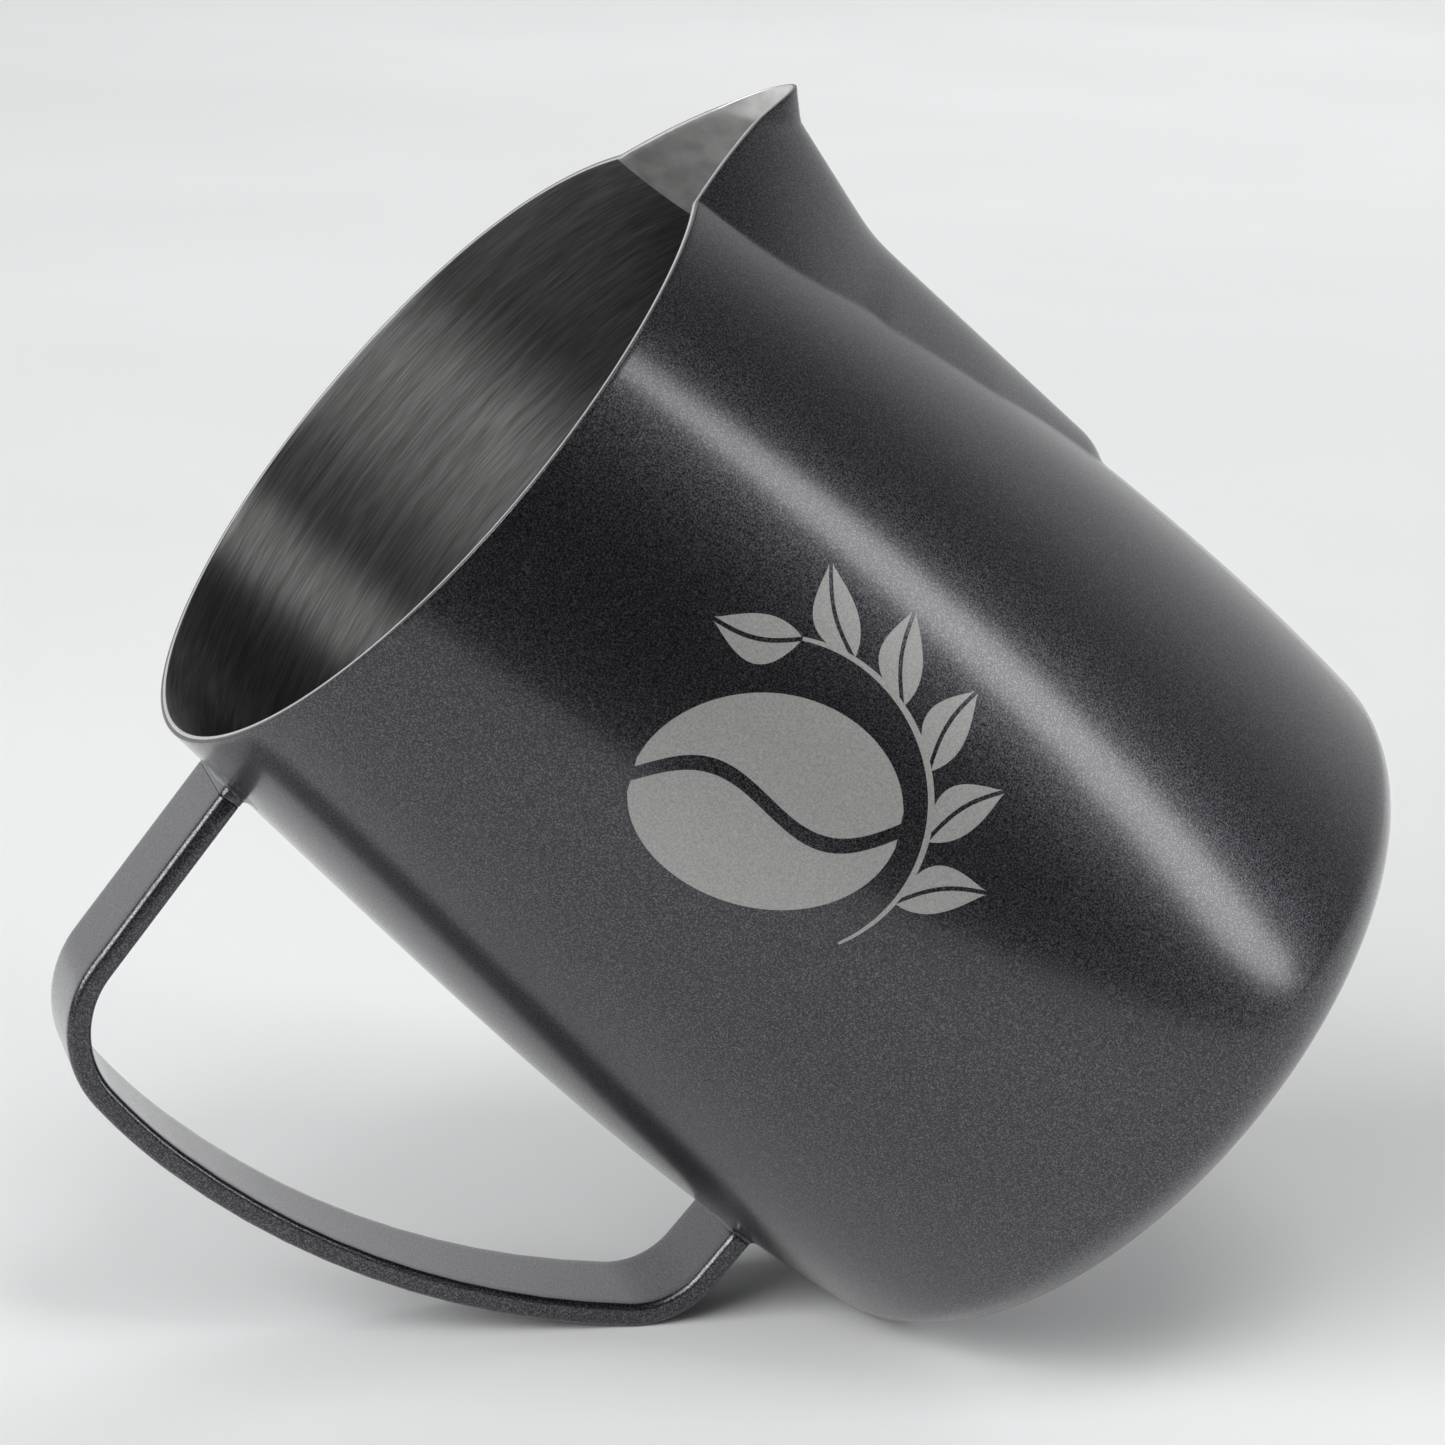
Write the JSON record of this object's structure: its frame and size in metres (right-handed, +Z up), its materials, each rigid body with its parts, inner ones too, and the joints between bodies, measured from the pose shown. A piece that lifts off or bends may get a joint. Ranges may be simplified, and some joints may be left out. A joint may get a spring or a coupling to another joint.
{
  "type": "milk frothing pitcher",
  "caption": "One-piece drawn steel milk pitcher with a long sharp pouring spout and a flat bent strap handle welded at both ends.",
  "frame": {"origin": "centre of the flat base, on the surface the pitcher stands on", "axes": "+Z up along the cup's axis, +X towards the spout, so the handle is on -X; the pitcher mirrors in the XZ plane"},
  "size_m": [0.121, 0.0846, 0.1],
  "materials": {
    "coated_cup": "fine matte metallic coat outside, bare brushed steel inside",
    "coated_handle": "fine matte metallic coat",
    "coated_weld": "fine matte metallic coat over a dressed weld"
  },
  "bodies": {
    "root": {"pitcher_body": "coated_cup", "upper_handle_stub": "coated_handle", "handle_strap": "coated_handle", "upper_weld": "coated_weld", "lower_weld": "coated_weld"}
  },
  "joints": []
}
